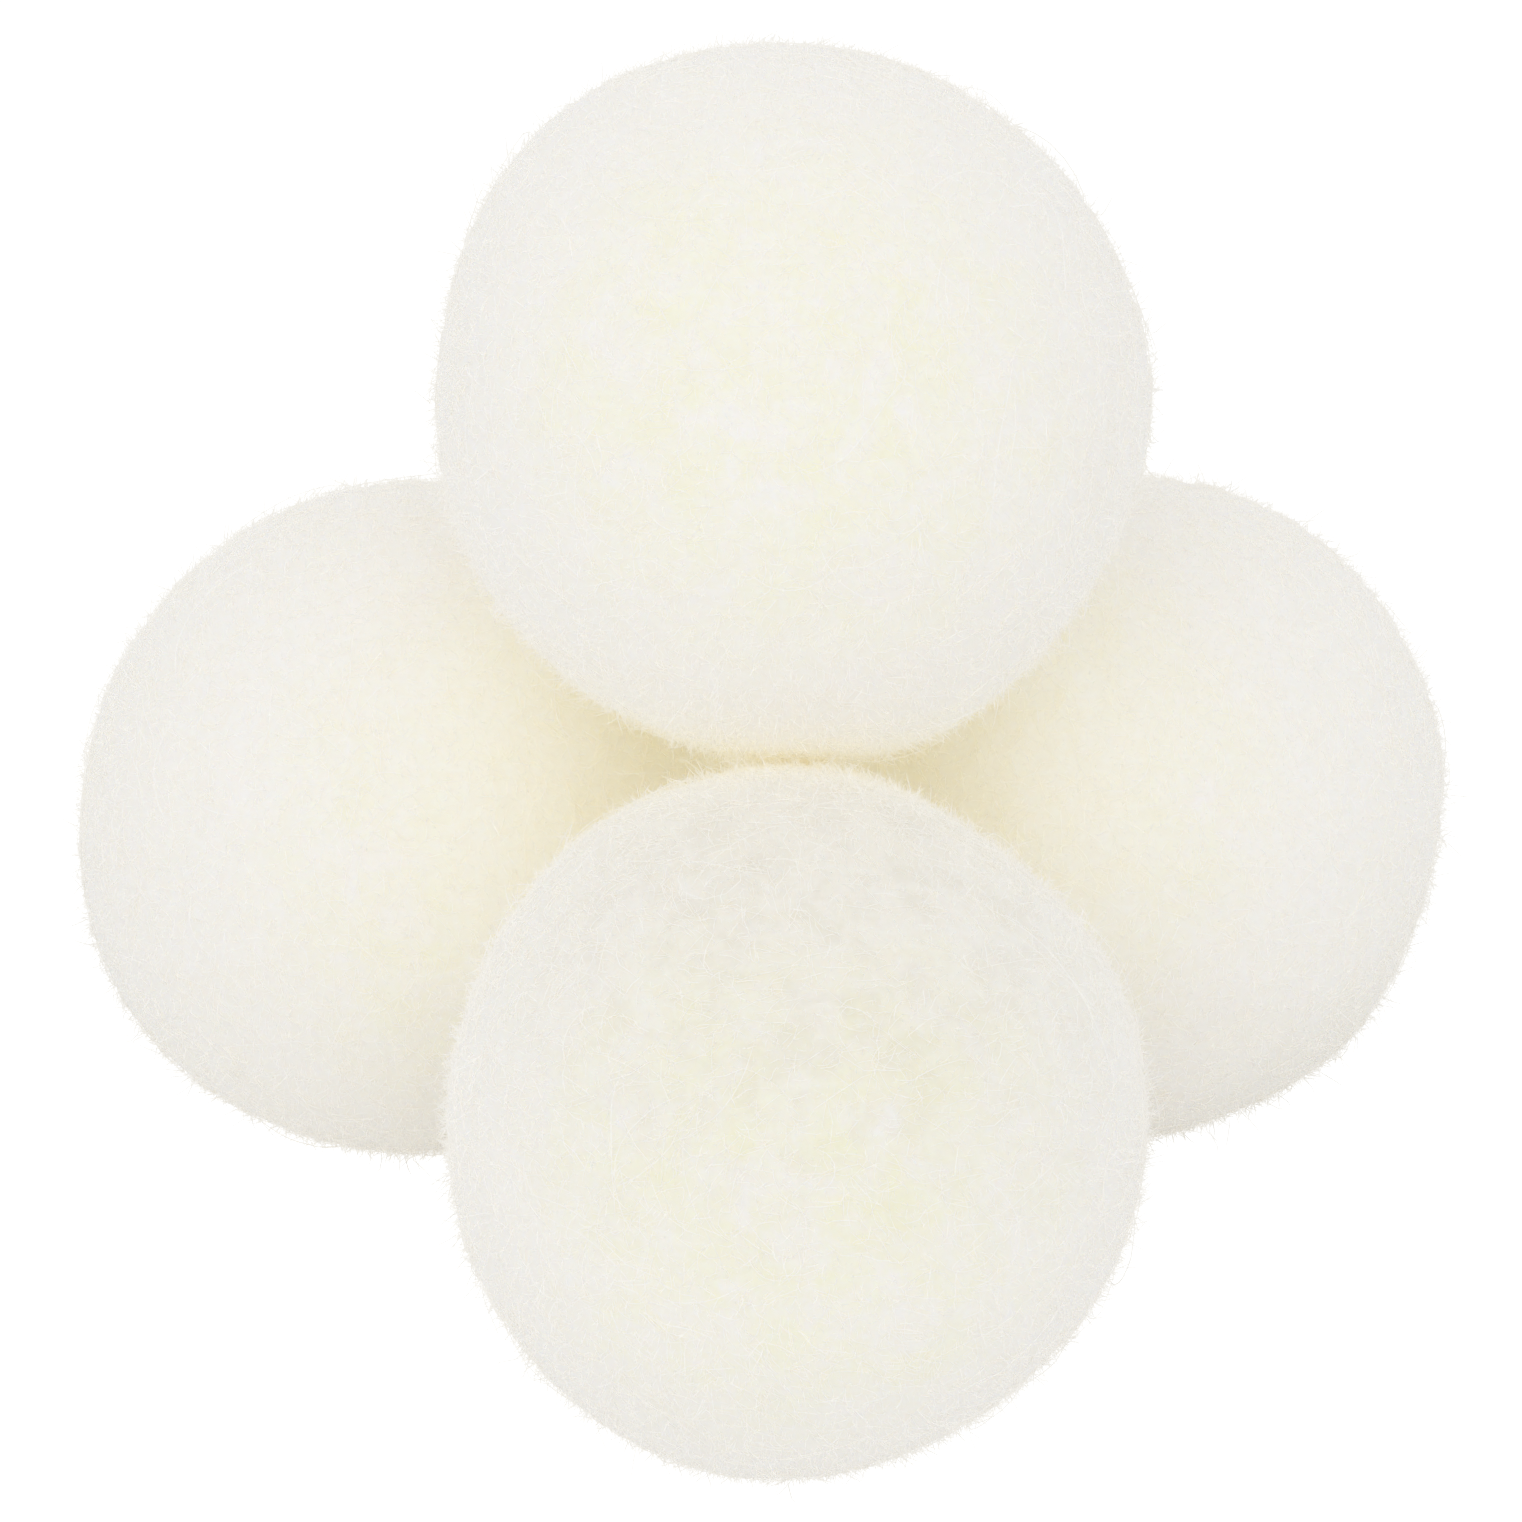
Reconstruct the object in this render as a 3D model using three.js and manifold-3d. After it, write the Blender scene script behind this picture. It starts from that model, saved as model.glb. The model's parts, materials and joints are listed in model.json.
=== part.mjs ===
// Felted wool dryer balls, piled three below and one on top. The balls are loose.
//
// Each ball is made from the inside out, as a felt maker lays it up: a hard-rolled core of wool,
// a first wrap of carded wool round it, a cross wrap laid square to the first, and the outer
// fleece, which wet felting shrinks into one tight skin.
//
// Millimetres, +Z up. The origin is on the table, under the middle of the pile's bounding box.
// +X runs across the two rear balls, and the front ball stands towards -Y.

import * as THREE from "three";
import { mergeVertices } from "three/addons/utils/BufferGeometryUtils.js";
import Module from "manifold-3d";

// ---- Driving dimensions ----

const BALL_RADIUS = 35; // over the felt, with its fuzz pressed down
const SKIN_WALL = 7;
const WRAP_WALL = 7;
const LAYER_GAP = 0.3; // between one layer and the next
const BALL_GAP = 0.3; // between two balls that lean on each other, where their fuzz meets
const FOOT_DEPTH = 0.5; // how far the felt gives where a ball stands on the table

const LAP_GAP = 0.4; // the parting between the two ends of a wrap
const LAP_SLANT = THREE.MathUtils.degToRad(30); // one end lies over the other at this slant
const LAP_HEIGHT_SHARE = 1; // the lap's length over the layer's inner radius

const SKIN_DETAIL = 7; // icosahedron edges are cut into this many pieces, plus one
const LAYER_DETAIL = 2;

// ---- Where each ball's centre stands ----

const PITCH = 2 * BALL_RADIUS + BALL_GAP; // centre to centre of two balls that touch
const REAR_Y = PITCH * Math.sqrt(3) / 4; // puts the bounding box's middle at y = 0
const FRONT_Y = -REAR_Y;
const PILE_MIDDLE_Y = REAR_Y - PITCH / (2 * Math.sqrt(3)); // under the top ball
const LOWER_Z = BALL_RADIUS - FOOT_DEPTH;
const TOP_Z = LOWER_Z + PITCH * Math.sqrt(2 / 3); // height of a regular tetrahedron

const BALLS = [
  { name: "front", centre: [0, FRONT_Y, LOWER_Z], onTable: true },
  { name: "left", centre: [-PITCH / 2, REAR_Y, LOWER_Z], onTable: true },
  { name: "right", centre: [PITCH / 2, REAR_Y, LOWER_Z], onTable: true },
  { name: "top", centre: [0, PILE_MIDDLE_Y, TOP_Z], onTable: false },
];

// ---- Materials ----

const wool = (color) => new THREE.MeshStandardMaterial({ color, roughness: 0.95, metalness: 0 });
const FELT = wool(0xf0eee4);
const CARDED_WOOL = wool(0xece4cc);
const ROLLED_WOOL = wool(0xe2d8bc);

// ---- Booleans ----

const wasm = await Module();
wasm.setup();

// A closed geometry as a solid that can be cut and joined.
function toSolid(geometry) {
  const bare = geometry.clone();
  bare.deleteAttribute("normal");
  bare.deleteAttribute("uv");
  const merged = mergeVertices(bare);
  return new wasm.Manifold(new wasm.Mesh({
    numProp: 3,
    vertProperties: merged.attributes.position.array,
    triVerts: new Uint32Array(merged.index.array),
  }));
}

// A solid back as a geometry to draw.
function toGeometry(solid) {
  const { vertProperties, triVerts } = solid.getMesh();
  const geometry = new THREE.BufferGeometry();
  geometry.setAttribute("position", new THREE.BufferAttribute(vertProperties, 3));
  geometry.setIndex(new THREE.BufferAttribute(triVerts, 1));
  geometry.computeVertexNormals();
  return geometry;
}

const sphere = (radius, detail) => toSolid(new THREE.IcosahedronGeometry(radius, detail));

// ---- Layers of one ball, each centred on its own origin ----

// A thin slanting slab through one side of a wall, where a wrap's last turn lies over the turn before.
// It faces +X, or +Y when it is turned, and its length stands along Z, or along X.
function lapSlab(outerRadius, innerRadius, turned) {
  const middle = (outerRadius + innerRadius) / 2;
  const reach = 2 * (outerRadius - innerRadius);
  const slab = new THREE.BoxGeometry(reach, LAP_GAP, innerRadius * LAP_HEIGHT_SHARE);
  slab.rotateZ(LAP_SLANT);
  slab.translate(middle, 0, 0);
  if (turned) {
    slab.rotateX(Math.PI / 2);
    slab.rotateZ(Math.PI / 2);
  }
  return toSolid(slab);
}

// One layer of wool round what is inside it, parted along its lap.
function wrap(outerRadius, wall, outerDetail, turned) {
  const innerRadius = outerRadius - wall;
  return sphere(outerRadius, outerDetail)
    .subtract(sphere(innerRadius, LAYER_DETAIL))
    .subtract(lapSlab(outerRadius, innerRadius, turned));
}

// What lies below the table, seen from a ball's centre.
function belowTable() {
  const block = new THREE.BoxGeometry(2 * BALL_RADIUS, 2 * BALL_RADIUS, BALL_RADIUS);
  block.translate(0, 0, -LOWER_Z - BALL_RADIUS / 2);
  return toSolid(block);
}

function feltSkin(onTable) {
  const skin = wrap(BALL_RADIUS, SKIN_WALL, SKIN_DETAIL, false);
  return onTable ? skin.subtract(belowTable()) : skin;
}

const CROSS_RADIUS = BALL_RADIUS - SKIN_WALL - LAYER_GAP;
const FIRST_RADIUS = CROSS_RADIUS - WRAP_WALL - LAYER_GAP;
const CORE_RADIUS = FIRST_RADIUS - WRAP_WALL - LAYER_GAP;

const crossWrap = () => wrap(CROSS_RADIUS, WRAP_WALL, LAYER_DETAIL, true);
const firstWrap = () => wrap(FIRST_RADIUS, WRAP_WALL, LAYER_DETAIL, false);
const rolledCore = () => sphere(CORE_RADIUS, LAYER_DETAIL);

// ---- The pile ----

function ball({ name, centre, onTable }) {
  const layers = [
    ["felt_skin", feltSkin(onTable), FELT],
    ["cross_wrap", crossWrap(), CARDED_WOOL],
    ["first_wrap", firstWrap(), CARDED_WOOL],
    ["rolled_core", rolledCore(), ROLLED_WOOL],
  ];
  const group = new THREE.Group();
  for (const [layer, solid, material] of layers) {
    const mesh = new THREE.Mesh(toGeometry(solid), material);
    mesh.name = `${name}_${layer}`;
    group.add(mesh);
  }
  group.position.set(...centre);
  return group;
}

const pile = new THREE.Group();
for (const each of BALLS) {
  pile.add(ball(each));
}

export default pile;
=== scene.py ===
"""Felted wool dryer balls, piled three below and one on top.

Each ball's skin is a coarse round cage that a subdivision and two displacements turn into lumpy
felt. Over it lie the fibres, each of them real: the matted nap, the standing fuzz, the very short
down and a few long strays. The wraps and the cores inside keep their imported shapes.
Everything is in metres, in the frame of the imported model, with +Z up.
"""

import json
import math

import bpy
import numpy as np
from bpy.props import (
    FloatProperty,
    FloatVectorProperty,
    IntProperty,
    PointerProperty,
)
from bpy.types import Operator, Panel, PropertyGroup
from mathutils import Matrix, Vector
from mathutils.bvhtree import BVHTree

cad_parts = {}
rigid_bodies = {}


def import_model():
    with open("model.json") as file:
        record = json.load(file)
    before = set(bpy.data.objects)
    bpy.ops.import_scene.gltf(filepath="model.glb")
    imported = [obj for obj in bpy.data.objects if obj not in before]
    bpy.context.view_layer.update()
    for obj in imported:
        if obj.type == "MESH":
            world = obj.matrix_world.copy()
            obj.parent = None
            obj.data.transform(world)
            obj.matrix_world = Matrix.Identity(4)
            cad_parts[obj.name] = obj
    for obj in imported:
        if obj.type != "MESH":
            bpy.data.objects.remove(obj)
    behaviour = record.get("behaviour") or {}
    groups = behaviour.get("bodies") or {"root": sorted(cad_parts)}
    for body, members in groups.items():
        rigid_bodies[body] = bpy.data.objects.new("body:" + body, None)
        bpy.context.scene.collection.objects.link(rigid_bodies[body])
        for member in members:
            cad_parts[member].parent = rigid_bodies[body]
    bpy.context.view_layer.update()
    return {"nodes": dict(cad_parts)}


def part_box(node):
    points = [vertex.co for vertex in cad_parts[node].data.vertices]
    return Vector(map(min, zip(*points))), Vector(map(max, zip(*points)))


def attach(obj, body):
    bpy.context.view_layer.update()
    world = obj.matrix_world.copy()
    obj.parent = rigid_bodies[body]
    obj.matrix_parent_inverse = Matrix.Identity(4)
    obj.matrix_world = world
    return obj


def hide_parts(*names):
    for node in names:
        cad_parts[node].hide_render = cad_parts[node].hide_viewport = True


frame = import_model()

bl_info = {
    "name": "Wool Dryer Balls",
    "version": (1, 0, 0),
    "blender": (4, 5, 0),
    "location": "View3D > Sidebar > Dryer Balls",
    "description": "Makes a pile of felted wool dryer balls round its packed model",
    "category": "Object",
}

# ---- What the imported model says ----

BALLS = ("front", "left", "right", "top")


def middle(node):
    """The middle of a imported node's box."""
    low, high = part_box(node)
    return (low + high) / 2


CENTRES = {ball: middle(f"{ball}_rolled_core") for ball in BALLS}
BALL_RADIUS = (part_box("top_felt_skin")[1].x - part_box("top_felt_skin")[0].x) / 2
WRAP_RADIUS = (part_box("top_cross_wrap")[1].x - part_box("top_cross_wrap")[0].x) / 2

# ---- Shapes that are chosen ----

# Where each ball's outline swells or is pressed in, as seen from the front of the pile:
# the angle round the outline, anticlockwise from the right, then the rise and the angle
# over which it fades.
LUMPS = {
    "front": (
        (250, 0.0008, 18), (303, -0.0009, 20), (340, -0.00025, 22), (200, 0.00045, 25),
        (124, 0.0012, 14), (54, -0.0011, 13),
    ),
    "left": ((213, 0.00135, 17), (250, 0.0007, 20), (130, -0.0003, 12), (9, 0.001, 11)),
    "right": ((45, 0.0008, 28), (-16, -0.00085, 13), (-75, -0.00045, 16), (171, 0.001, 11)),
    "top": (
        (130, 0.00105, 14), (62, -0.0004, 20), (176, -0.0007, 11), (0, 0.0008, 12),
        (296, 0.0010, 13),
    ),
}
# How much smaller each ball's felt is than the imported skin.
SHRUNK = {"front": 0.0015, "left": 0.0014, "right": 0.0014, "top": 0.0006}
# Where the cream patches of each ball gather: so far aside, so far up, and to the front. This is the
# side turned to the camera, so the rims stay whiter as a painted sheen; the cream patches themselves
# are the wool's own tone.
PAINTED_SHEEN_CREAM_SIDES = {
    "front": (0, -0.2, 1),
    "left": (0.45, -0.15, 1),
    "right": (-0.45, 0.05, 1),
    "top": (0, 0, 1),
}
# The side of each ball where the fleece is made duller in clumps as painted shade, where less light
# falls: the front ball's top under the top ball, low on the outer sides of the left and right balls,
# and the upper right of the top ball turned away from the camera; given the same way.
PAINTED_SHADE_SIDE = {
    "front": (0.05, 0.75, 0.68),
    "left": (-0.8, -0.5, -0.5),
    "right": (0.7, -0.9, -0.2),
    "top": (0.6, 0.5, -0.6),
}
# The nearness to that side, from 1 down to -1, at which the painted shade begins.
PAINTED_SHADE_FROM = {"front": 0.2, "left": 0.7, "right": 0.7, "top": 0.7}
# The nearness to the heart of the pile at which painted warm bounce light begins: the wool there is
# made warmer and lighter than the white, in place of light passed on between the balls.
PAINTED_BOUNCE_FROM = {"front": 0.52, "left": 0.46, "right": 0.42, "top": 0.54}
# Dents in a ball's face: where each is, the same way, then its rise and the angle over which it fades.
DENT = {"front": ((0.06, 0.54, 0.84), -0.0011, 9)}
REST_SPACE = 0.0001  # from a ball's felt to the floor, or to halfway to a ball that it leans on
REST_SPREAD = 12  # degrees over which the felt swells towards what it rests on
# These two lean on each other mostly by their fuzz, and light reaches between them.
LIGHTLY_LEANING = {"front", "top"}
LIGHT_LEAN = 0.8  # the share of its swelling that the felt has between those two
CAGE_CUTS = 10  # faces along each edge of the cube that the cage is rounded from
INNER_CUTS = 3
CAGE_SWELL = 1.0041  # a cage stands this much proud of the surface that it rounds to
INNER_SWELL = 1.045
SKIN_LEVELS = 3
INNER_CLEARANCE = 0.0004  # between the skin's inner wall and the cross wrap

# ---- How the fibres lie ----

ROOT_DEPTH = 0.0002  # how far a standing fibre's root lies in the felt
GATHER_SPREAD = 0.25  # how far the fibres between two balls stray from where the balls lean
DOWN_GATHERED = 0.1  # the share of the down that is tangled there
NAP_SUNK = 0.00015  # how far the ends of a matted fibre lie in the felt
STRAY_SUNK = 0.0002
LOOSE_STRAYS = 0.4  # the share of long fibres that stand off at one end
# How much a fibre turns as it goes, how much it waves, and the share that its neighbours comb.
NAP_WAY = (0.3, 0.28, 0.6)
STANDING_WAY = (0.45, 0.25, 0.4)
STRAY_WAY = (0.14, 0.05, 0.5)
# How much a kind's lengths differ, and the shortest and the longest.
NAP_VARIETY = (0.4, 0.0018, 0.011)
FUZZ_VARIETY = (0.45, 0.0007, 0.0048)
DOWN_VARIETY = (0.25, 0.0005, 0.002)
STRAY_VARIETY = (0.3, 0.008, 0.028)
# The least, the usual and the greatest angle in degrees at which fibres stand off the felt.
FUZZ_LEANS = (5, 30, 75)
DOWN_LEANS = (20, 60, 90)
# Points along each fibre.
NAP_POINTS = 5
FUZZ_POINTS = 4
DOWN_POINTS = 3
STRAY_POINTS = 14
# Where each kind's random numbers start; each ball then has its own.
NAP_SEED = 100
FUZZ_SEED = 200
STRAY_SEED = 300
DOWN_SEED = 400

# ---- Tones of single fibres, from the whitest to the dullest, and their painted warm bounce light where sheltered ----

NAP_TONES = ((1.0, 0.994, 0.97), (1.0, 0.99, 0.96), (0.996, 0.98, 0.94))
FUZZ_TONES = ((1.0, 0.992, 0.972), (0.998, 0.987, 0.962), (0.995, 0.98, 0.95))
STRAY_TONES = ((0.999, 0.988, 0.965), (0.996, 0.982, 0.95), (0.985, 0.967, 0.92))
# Painted warm bounce light on the fibres near the heart of the pile, multiplied into their tones.
NAP_PAINTED_BOUNCE = (1, 0.994, 0.95)
FUZZ_PAINTED_BOUNCE = (1, 1, 0.985)
PAINTED_BOUNCE_FADE = 0.24  # the nearness over which the painted warm bounce light comes in

# ---- Stage ----

FLOOR_WIDTH = 8
WALL_HEIGHT = 4
FLOOR_GAP = 0.0002  # between the floor that shows and the one that the balls are lit by
KEY_SIZE = 0.9
KEY_ASIDE = -0.1  # where the key light stands, beside the camera and above it
KEY_ABOVE = 0.1
LIGHT_BOUNCES = 64  # white wool passes light on many times


def length_property(name, description, default, precision=4):
    return FloatProperty(
        name=name,
        description=description,
        default=default,
        precision=precision,
        subtype="DISTANCE",
        unit="LENGTH",
    )


def angle_property(name, description, degrees):
    return FloatProperty(
        name=name,
        description=description,
        default=math.radians(degrees),
        subtype="ANGLE",
        unit="ROTATION",
    )


def colour_property(name, description, default):
    return FloatVectorProperty(
        name=name,
        description=description,
        default=default,
        size=3,
        min=0,
        max=1,
        subtype="COLOR",
    )


def count_property(name, description, default):
    return IntProperty(name=name, description=description, default=default, min=0)


def strength_property(name, description, default):
    return FloatProperty(name=name, description=description, default=default, min=0)


class DRYERBALL_PG_felt(PropertyGroup):
    """The felt skins and their colours."""

    lump_size: length_property("Lump Size", "Width of the felt's broad unevenness", 0.011)
    lump_depth: length_property("Lump Depth", "Height of the felt's broad unevenness", 0.0006, 5)
    grain_size: length_property(
        "Grain Size", "Width of the small knots where the fibres mat together", 0.0017
    )
    grain_depth: length_property("Grain Depth", "Height of the small knots", 0.00028, 5)
    white: colour_property(
        "White Wool", "Colour of the bleached wool on the outside", (0.996, 0.977, 0.945)
    )
    cream: colour_property(
        "Cream Wool", "Colour of the wool that shows through from below", (0.985, 0.974, 0.81)
    )
    # Painted warm bounce light, which the felt takes near the heart of the pile in place of its own
    # colours.
    painted_bounce: colour_property(
        "Painted Warm Bounce",
        "Painted warm bounce light, warmer and lighter than the white wool, in the sheltered heart of the pile",
        (1.0, 0.988, 0.915),
    )
    pale_painted_bounce: colour_property(
        "Pale Painted Warm Bounce",
        "The same on the front and the top ball, where more light reaches it",
        (1.0, 0.996, 0.965),
    )
    carded: colour_property("Carded Wool", "Colour of the wraps inside a ball", (0.85, 0.78, 0.62))
    rolled: colour_property("Rolled Wool", "Colour of the core of a ball", (0.74, 0.66, 0.5))


class DRYERBALL_PG_fibres(PropertyGroup):
    """The fibres on each ball."""

    nap_count: count_property("Nap Fibres", "Matted fibres on each ball", 6800)
    nap_length: length_property("Nap Length", "Usual length of a matted fibre", 0.004)
    nap_width: length_property("Nap Width", "Usual thickness of a matted fibre", 0.00008, 6)
    fuzz_count: count_property("Fuzz Fibres", "Short fibres that stand off each ball", 12000)
    fuzz_length: length_property("Fuzz Length", "Usual length of a standing fibre", 0.0017)
    fuzz_width: length_property("Fuzz Width", "Thickness of a standing fibre", 0.000085, 6)
    fuzz_gathered: FloatProperty(
        name="Fuzz Between Balls",
        description="Share of the fuzz that is tangled where the balls lean on each other",
        default=0.16,
        min=0,
        max=1,
        subtype="FACTOR",
    )
    down_count: count_property(
        "Down Fibres", "Very short fibres that make each ball's outline soft", 21000
    )
    down_length: length_property("Down Length", "Usual length of a down fibre", 0.0012)
    down_width: length_property("Down Width", "Thickness of a down fibre", 0.00007, 6)
    stray_count: count_property("Stray Fibres", "Long loose fibres on each ball", 240)
    stray_length: length_property("Stray Length", "Usual length of a loose fibre", 0.015)
    stray_width: length_property("Stray Width", "Thickness of a loose fibre", 0.00008, 6)


class DRYERBALL_PG_stage(PropertyGroup):
    """The floor, the lights and the camera."""

    azimuth: angle_property("Azimuth", "Which side the camera looks from; 0 looks along +Y", -3.8)
    elevation: angle_property("Elevation", "How far above the horizon the camera stands", 29.3)
    roll: angle_property("Roll", "How far the camera leans over", 1.4)
    distance: length_property("Distance", "From the camera to the middle of the pile", 1.0)
    aim_side: length_property(
        "Aim Aside", "How far to +X of the pile's middle the camera aims", -0.0018
    )
    aim_height: length_property("Aim Height", "How high above the floor the camera aims", 0.0518)
    lens: FloatProperty(
        name="Focal Length",
        description="Of the camera's lens, in millimetres",
        default=240,
        subtype="DISTANCE_CAMERA",
        unit="CAMERA",
    )
    floor: colour_property("Floor", "Colour of the floor", (0.12, 0.12, 0.12))
    floor_glow: strength_property(
        "Floor Glow", "Light that the floor gives of its own, as a light table does", 1.0
    )
    bounce: colour_property(
        "Bounce",
        "Colour of the floor as the balls see it, which sets how light their undersides are",
        (0.75, 0.75, 0.75),
    )
    bounce_glow: strength_property(
        "Bounce Glow", "Light that the floor gives the balls of its own", 0.13
    )
    sky: strength_property("Sky", "Strength of the even white light from all round", 0.845)
    key: FloatProperty(
        name="Key Light",
        description="Strength of the large soft light at the front",
        default=1.28,
        subtype="POWER",
        unit="POWER",
    )


# ---- Felt skins ----


def view_axes(stage):
    """The camera's right, up and back directions."""
    turn = stage.azimuth
    rise = stage.elevation
    back = Vector((
        math.sin(turn) * math.cos(rise),
        -math.cos(turn) * math.cos(rise),
        math.sin(rise),
    ))
    level = Vector((0, 0, 1)).cross(back).normalized()
    upright = back.cross(level)
    right = level * math.cos(stage.roll) + upright * math.sin(stage.roll)
    return right, back.cross(right), back


def round_cage(cuts):
    """A cube's surface cut into squares and blown up to a unit ball: points and faces."""
    points = []
    numbers = {}
    faces = []

    def number(corner):
        if corner not in numbers:
            numbers[corner] = len(points)
            slopes = [math.tan((2 * c / cuts - 1) * math.pi / 4) for c in corner]
            points.append(Vector(slopes).normalized())
        return numbers[corner]

    for axis in range(3):
        for side in (0, cuts):
            for a in range(cuts):
                for b in range(cuts):
                    square = ((a, b), (a + 1, b), (a + 1, b + 1), (a, b + 1))
                    corners = []
                    for u, v in square:
                        corner = [u, v]
                        corner.insert(axis, side)
                        corners.append(number(tuple(corner)))
                    # Turned so that each face looks outwards.
                    if (side == 0) == (axis != 1):
                        corners.reverse()
                    faces.append(corners)
    return points, faces


def rests(ball):
    """What a ball rests on or leans on: the direction of each, and how far off it is."""
    found = {}
    for other in BALLS:
        if other != ball:
            apart = CENTRES[other] - CENTRES[ball]
            found[other] = (apart.normalized(), apart.length / 2)
    if ball != "top":
        found["floor"] = (Vector((0, 0, -1)), CENTRES[ball].z)
    return found


def heart_side(ball):
    """The direction from a ball's centre to the sheltered heart of the pile."""
    heart = sum(CENTRES.values(), Vector()) / len(BALLS)
    return (heart - CENTRES[ball]).normalized()


def side_of(ball, sides, stage):
    """The direction from a ball's centre to the side that it has in this table."""
    right, up, back = view_axes(stage)
    aside, high, near = sides[ball]
    return (right * aside + up * high + back * near).normalized()


def fade(point, direction, spread):
    """How strongly a swelling in this direction is felt at a point: 1 at its middle."""
    away = math.degrees(point.angle(direction))
    return math.exp(-((away / spread) ** 2) / 2)


def felt_cage(ball, stage):
    """The outer cage of a ball with its lumps, and the plain cage of its inner wall.

    Also gives how loose the felt is at each outer point: where a ball rests it is pressed smooth.
    """
    right, up, back = view_axes(stage)
    radius = BALL_RADIUS - SHRUNK[ball]
    swells = [
        (right * math.cos(math.radians(angle)) + up * math.sin(math.radians(angle)), rise, spread)
        for angle, rise, spread in LUMPS[ball]
    ]
    if ball in DENT:
        (aside, high, near), rise, spread = DENT[ball]
        swells.append((right * aside + up * high + back * near, rise, spread))
    for other, (direction, distance) in rests(ball).items():
        share = LIGHT_LEAN if {ball, other} == LIGHTLY_LEANING else 1
        swells.append((direction, (distance - REST_SPACE - radius) * share, REST_SPREAD))
    points, faces = round_cage(CAGE_CUTS)
    placed = []
    loose = []
    for point in points:
        reach = radius
        for direction, rise, spread in swells:
            reach += rise * fade(point, direction, spread)
        placed.append(CENTRES[ball] + point * reach * CAGE_SWELL)
        pressed = max(fade(point, direction, REST_SPREAD) for direction, _ in rests(ball).values())
        loose.append(1 - pressed)
    inner_points, inner_faces = round_cage(INNER_CUTS)
    inner_radius = (WRAP_RADIUS + INNER_CLEARANCE) * INNER_SWELL
    outer_count = len(placed)
    placed += [CENTRES[ball] + point * inner_radius for point in inner_points]
    faces += [[outer_count + i for i in reversed(face)] for face in inner_faces]
    return placed, faces, loose


def add_relief(skin, name, size, depth):
    """A live displacement of the skin's outside by a cloudy pattern."""
    pattern = bpy.data.textures.new(name, "CLOUDS")
    pattern.noise_scale = size
    pattern.noise_depth = 2
    relief = skin.modifiers.new(name, "DISPLACE")
    relief.texture = pattern
    relief.texture_coords = "LOCAL"
    relief.mid_level = 0.5
    relief.strength = depth
    relief.vertex_group = "outside"


class DRYERBALL_OT_felt_skins(Operator):
    """Make each ball's felt skin"""

    bl_idname = "dryer_ball.felt_skins"
    bl_label = "Felt Skins"

    def execute(self, context):
        felt = context.scene.dryer_ball_felt
        stage = context.scene.dryer_ball_stage
        for ball in BALLS:
            points, faces, loose = felt_cage(ball, stage)
            mesh = bpy.data.meshes.new(f"{ball}_felt")
            mesh.from_pydata(points, [], faces)
            mesh.shade_smooth()
            skin = bpy.data.objects.new(f"{ball}_felt", mesh)
            context.collection.objects.link(skin)
            outside = skin.vertex_groups.new(name="outside")
            for i, share in enumerate(loose):
                outside.add((i,), share, "REPLACE")
            rounding = skin.modifiers.new("Rounding", "SUBSURF")
            rounding.levels = SKIN_LEVELS
            rounding.render_levels = SKIN_LEVELS
            add_relief(skin, f"{ball} lumps", felt.lump_size, felt.lump_depth)
            add_relief(skin, f"{ball} grain", felt.grain_size, felt.grain_depth)
            # The side where the cream patches gather, turned to the camera, so the rims stay whiter as
            # a painted sheen.
            cream_side_by_painted_sheen = side_of(ball, PAINTED_SHEEN_CREAM_SIDES, stage)
            # Painted shade: the side of each ball that is made duller where less light falls.
            shade_painted_side = side_of(ball, PAINTED_SHADE_SIDE, stage)
            wool = felt_material(f"{ball} felt", ball, cream_side_by_painted_sheen, shade_painted_side, felt)
            mesh.materials.append(wool)
            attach(skin, f"{ball}_ball")
            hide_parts(f"{ball}_felt_skin")
        return {"FINISHED"}


# ---- Fibres ----


def unit(vectors):
    return vectors / np.linalg.norm(vectors, axis=-1, keepdims=True)


def flow(places, rng, waves=5):
    """A smooth field of directions over the unit ball, by which neighbouring fibres lie alike."""
    field = np.zeros_like(places)
    for _ in range(waves):
        wave = rng.normal(size=3) * 2.2
        push = rng.normal(size=3)
        field += np.sin(places @ wave + rng.uniform(0, 2 * math.pi))[:, None] * push
    return field


def across(places, directions):
    """The directions laid flat on the unit ball at these places."""
    flat = directions - np.sum(directions * places, axis=-1, keepdims=True) * places
    return unit(flat)


def wander(rng, places, headings, spans, points, bend, crimp):
    """Paths over the unit ball: each fibre steps ahead, turns a little each time, and waves."""
    steps = (spans / (points - 1))[:, None]
    path = [places]
    turning = rng.normal(size=len(places)) * bend
    for step in range(points - 1):
        ahead = places * np.cos(steps) + headings * np.sin(steps)
        headings = headings * np.cos(steps) - places * np.sin(steps)
        places = unit(ahead)
        turning = turning + rng.normal(size=len(places)) * bend * 0.5
        wave = rng.uniform(0.4, 1, size=len(places)) * crimp * (-1) ** step
        turn = (turning + wave)[:, None]
        headings = headings * np.cos(turn) + np.cross(places, headings) * np.sin(turn)
        headings = across(places, headings)
        path.append(places)
    return np.stack(path, axis=1)


def felt_radii(skin, centre, directions):
    """How far the finished felt reaches from the ball's centre in these directions."""
    tree = BVHTree.FromObject(skin, bpy.context.evaluated_depsgraph_get())
    start = BALL_RADIUS * 1.2
    radii = np.empty(len(directions))
    for i, direction in enumerate(directions):
        way = Vector(direction)
        _, _, _, depth = tree.ray_cast(centre + way * start, -way)
        radii[i] = start - depth
    return radii


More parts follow.
